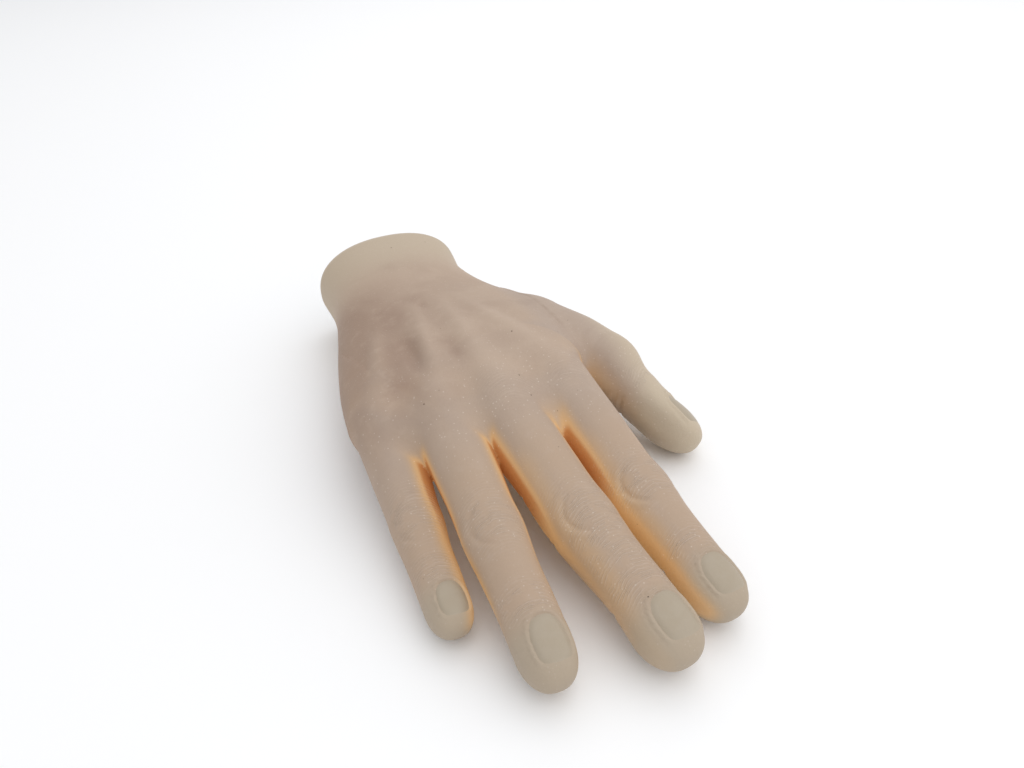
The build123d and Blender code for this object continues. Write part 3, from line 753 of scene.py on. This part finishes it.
def cast_silicone():
    """The pigmented silicone of the skin, matte, with the cast's folds, pores and pinholes, and with painted warm
    shade between the digits and painted highlights on the folds.
    """
    shader = Shader("cast_silicone", Roughness=0.5, IOR=1.41, Specular_IOR_Level=0.35)
    place = shader.place()
    x, y = shader.split(place, "X"), shader.split(place, "Y")
    blotch = shader.noise(place, 0.020, 3.0, 0.55, 0.6)
    mottle = shader.noise(place, 0.0045, 4.0, 0.6)
    hollow, ridge = shader.attribute("hollow"), shader.attribute("ridge")
    hidden, tip = shader.attribute("shelter"), shader.attribute("tip")
    back = y.ramp(-0.150, -0.105) * (1 - y.ramp(-0.034, -0.018))
    little_side = (1 - x.ramp(-0.030, 0.008)) * y.ramp(-0.128, -0.098) * (1 - y.ramp(-0.050, -0.024))
    flush = (hollow * 0.75 + little_side * 0.85 + back * blotch.ramp(0.44, 0.66) * 0.22).clamp()
    colour = shader.mix(shader.mix(BEIGE, FINGER_TONE, 1 - y.ramp(-0.150, -0.118)), MAUVE, flush)
    colour = shader.mix(colour, PALE, (ridge * 0.35 + mottle.ramp(0.5, 0.75) * 0.22).clamp())
    colour = shader.mix(colour, TIP_TONE, tip * 0.8)
    colour = shader.mix(colour, CREAM, y.ramp(-0.040, -0.008) * 0.7)
    colour = shader.mix(colour, RIM_GREY, y.ramp(-0.0045, 0.0) * 0.75)
    # painted light: the thumb, which alone reaches this far to its side, is made lighter as if more strongly lit
    colour = shader.mix(colour, THUMB_PAINTED_LIGHT, x.ramp(0.044, 0.058) * 0.8)
    # painted shade: amber where the skin is hidden from the sky, between and beside the digits, and deeper amber
    # where it is most hidden
    colour = shader.mix(colour, PAINTED_WARM_SHADE, hidden.ramp(0.06, 0.7) * (1 - tip * 0.35))
    colour = shader.mix(colour, PAINTED_DEEP_WARM_SHADE, hidden.ramp(0.66, 1.0) * (1 - tip * 0.7))
    # light that has gone through the silicone between the digits
    glow = ((0.0, (0, 0, 0)), (0.3, (0.06, 0.036, 0.014)), (0.65, (0.17, 0.095, 0.034)),
            (1.0, (0.09, 0.032, 0.008)))
    shader.link(shader.node("ShaderNodeValToRGB", {"stops": glow}, {0: hidden}), "Emission Color")
    shader.bsdf.inputs["Emission Strength"].default_value = 1.0
    fold, show = shader.attribute("fold"), shader.attribute("fold_show")
    waver = shader.noise(place, 0.0042, 2.0)
    broad = shader.noise(place, 0.0034, 2.0)
    line = ((fold * 1000 + waver * 1.6) * (2 * pi / 1.05)).math("SINE")
    fine = ((fold * 1000 + waver * 1.1) * (2 * pi / 0.58) + 1.3).math("SINE")
    creases = (line.ramp(0.1, 1.0) * 0.7 + fine.ramp(0.3, 1.0) * 0.3) * show * broad.ramp(0.36, 0.56)
    # painted highlight: the fold lines are drawn lighter, as where their crests catch the light
    colour = shader.mix(colour, (0.60, 0.50, 0.42), creases * 0.42)
    # dark pinholes, also sunk as pits in the bump below: their near-black colour is painted shade inside the pits
    pinholes = specks(shader, place, 0.0075, 0.30, 0.00034)
    fine_pinholes = specks(shader, place, 0.0040, 0.16, 0.00020)
    dots = (pinholes + fine_pinholes * 0.6).clamp()
    colour = shader.mix(colour, (0.05, 0.035, 0.025), dots * 0.85)
    grain = shader.noise(place, 0.0009, 2.0, 0.6)
    speckle = shader.noise(place, 0.0005, 2.0, 0.6)
    colour = shader.mix(colour, (0.36, 0.27, 0.21), speckle.ramp(0.5, 0.75) * 0.16)
    # painted highlights: tiny bright dots drawn into the colour, more of them near the folds; they also make the
    # skin a little glossier there
    glint = specks(shader, place, 0.0010, 0.25, 0.00026)
    near_folds = (show + y.ramp(-0.085, -0.115) * y.ramp(-0.150, -0.125) * 0.6 + 0.25).clamp()
    colour = shader.mix(colour, (0.72, 0.64, 0.56), glint * near_folds * 0.45)
    shader.link(colour, "Base Color")
    shader.link(0.52 + grain * 0.16 - glint * 0.12, "Roughness")
    pores = shader.noise(place, 0.00055, 3.0, 0.65)
    skin = shader.bump(grain * 0.5 + pores * 0.5, 0.00016)
    folded = shader.bump(creases, 0.00014, 1.0, skin)
    pitted = shader.bump(1 - dots, 0.00015, 0.8, folded)
    shader.link(pitted, "Normal")
    return shader.material


def nail_silicone():
    """The nails' clearer silicone: greyer and smoother than the skin."""
    shader = Shader("nail_silicone", Roughness=0.4, IOR=1.41, Specular_IOR_Level=0.45)
    place = shader.place()
    along, edge = shader.attribute("nail_along"), shader.attribute("nail_edge")
    cloud = shader.noise(place, 0.004, 3.0)
    colour = shader.mix(NAIL_TONE, TIP_TONE, (cloud.ramp(0.35, 0.65) * 0.6).clamp())
    colour = shader.mix(colour, (0.55, 0.48, 0.39), along.ramp(0.30, 0.5) * 0.5 + edge.ramp(0.86, 1.0) * 0.25)
    scratch = shader.noise(place, 0.0012, 3.0, 0.7, 2.0)
    shader.link(colour, "Base Color")
    shader.link(0.36 + scratch * 0.22, "Roughness")
    grain = shader.noise(place, 0.0008, 3.0, 0.6)
    shader.link(shader.bump(grain * 0.6 + scratch * 0.4, 0.00012), "Normal")
    return shader.material


def metal(name, tone, rough, size=0.0006):
    """Machined metal with a fine tooling grain."""
    shader = Shader(name, Metallic=1.0)
    place = shader.place()
    grain = shader.noise(place, size, 3.0, 0.6)
    wear = shader.noise(place, 0.008, 3.0, 0.6)
    dark = tuple(c * 0.72 for c in tone)
    shader.link(shader.mix(tone, dark, wear.ramp(0.45, 0.75)), "Base Color")
    shader.link(rough + grain * 0.18, "Roughness")
    shader.link(shader.bump(grain, 0.00004), "Normal")
    return shader.material


def moulded(name, tone, rough, size):
    """Moulded plastic or foam: pores of this size, and a little unevenness of tone."""
    shader = Shader(name)
    place = shader.place()
    pores = shader.noise(place, size, 4.0, 0.7)
    cloud = shader.noise(place, 0.012, 2.0)
    shade = tuple(c * 0.85 for c in tone)
    uneven = (cloud.ramp(0.4, 0.7) * 0.6 + pores.ramp(0.5, 0.7) * 0.4).clamp()
    shader.link(shader.mix(tone, shade, uneven), "Base Color")
    shader.link(rough + pores * 0.15, "Roughness")
    shader.link(shader.bump(pores, size * 0.25), "Normal")
    return shader.material


# ---------- the object ----------
SKIN = cast_silicone()
NAIL = nail_silicone()
for piece, rider in skin_pieces():
    piece.data.materials.append(SKIN)
    body = piece.name.rsplit("_silicone", 1)[0]
    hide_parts(body + "_skin")
    if rider is None:
        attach(piece, "palm")
    else:
        digit, k = rider
        low, high = digit.zones[k]
        drift = [along_curve(np.array([at]), digit.drift[0], digit.drift[2])[0] for at in (low, high)]
        start, end = (digit.world(at, 0.0, v) * MM for at, v in zip((low, high), drift))
        digit.bodies[k + 1]
        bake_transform(piece)
for digit in DIGITS:
    piece = nail_piece(digit)
    piece.data.materials.append(NAIL)
    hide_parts(digit.name + "_nail")
    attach(piece, digit.bodies[-1])

ALLOY = metal("armature_alloy", (0.62, 0.63, 0.65), 0.34)
STEEL = metal("fastener_steel", (0.50, 0.50, 0.51), 0.24)
FOAM = moulded("core_foam", (0.78, 0.70, 0.54), 0.75, 0.0012)
NYLON = moulded("wrist_nylon", (0.72, 0.70, 0.64), 0.42, 0.0004)
FINISH = {"armature_alloy": ALLOY, "steel": STEEL, "core_foam": FOAM, "wrist_nylon": NYLON}
SLOTS = {part["node"]: part["material_slot"] for part in frame["record"]["subparts"]}
for name, node in frame["nodes"].items():
    if SLOTS[name] in FINISH:
        for slot in node.material_slots:
            slot.material = FINISH[SLOTS[name]]

# ---------- the table, the light and the camera ----------
bpy.ops.object.select_all(action="DESELECT")
bpy.ops.mesh.primitive_plane_add(size=6, location=(0, 0, CAD_BOX[0][2]))
table = bpy.context.object
table.name = "table"
surface = Shader("table_white", Roughness=0.6)
surface.bsdf.inputs["Base Color"].default_value = (0.97, 0.97, 0.97, 1)
table.data.materials.append(surface.material)

world = bpy.data.worlds.new("studio")
world.use_nodes = True
world.node_tree.nodes["Background"].inputs["Color"].default_value = (0.97, 0.98, 1.0, 1)
world.node_tree.nodes["Background"].inputs["Strength"].default_value = 0.76
bpy.context.scene.world = world
for place, size, power in (((0.42, -0.42, 0.80), 1.6, 5.2), ((0.35, 0.55, 0.70), 0.9, 1.4)):
    light = bpy.data.lights.new("window", "AREA")
    light.size = size
    light.energy = power
    lamp = bpy.data.objects.new("window", light)
    lamp.location = place
    lamp.rotation_euler = (Vector((0, -0.1, 0)) - lamp.location).to_track_quat("-Z", "Y").to_euler()
    bpy.context.collection.objects.link(lamp)

AZIMUTH, ELEVATION, ROLL = radians(-23.48), radians(35.2), radians(-1.63)
back = Vector((sin(AZIMUTH) * cos(ELEVATION), -cos(AZIMUTH) * cos(ELEVATION), sin(ELEVATION)))
right = Vector((cos(AZIMUTH), sin(AZIMUTH), 0))
up = back.cross(right)
tilted = right * cos(ROLL) + up * sin(ROLL)
camera_data = bpy.data.cameras.new("camera")
camera_data.lens = 29.89
camera = bpy.data.objects.new("camera", camera_data)
camera.matrix_world = Matrix((tilted, back.cross(tilted), back)).transposed().to_4x4()
camera.location = (-0.0787, -0.3133, 0.1673)
bpy.context.collection.objects.link(camera)
bpy.context.scene.camera = camera
bpy.context.scene.view_settings.view_transform = "Standard"
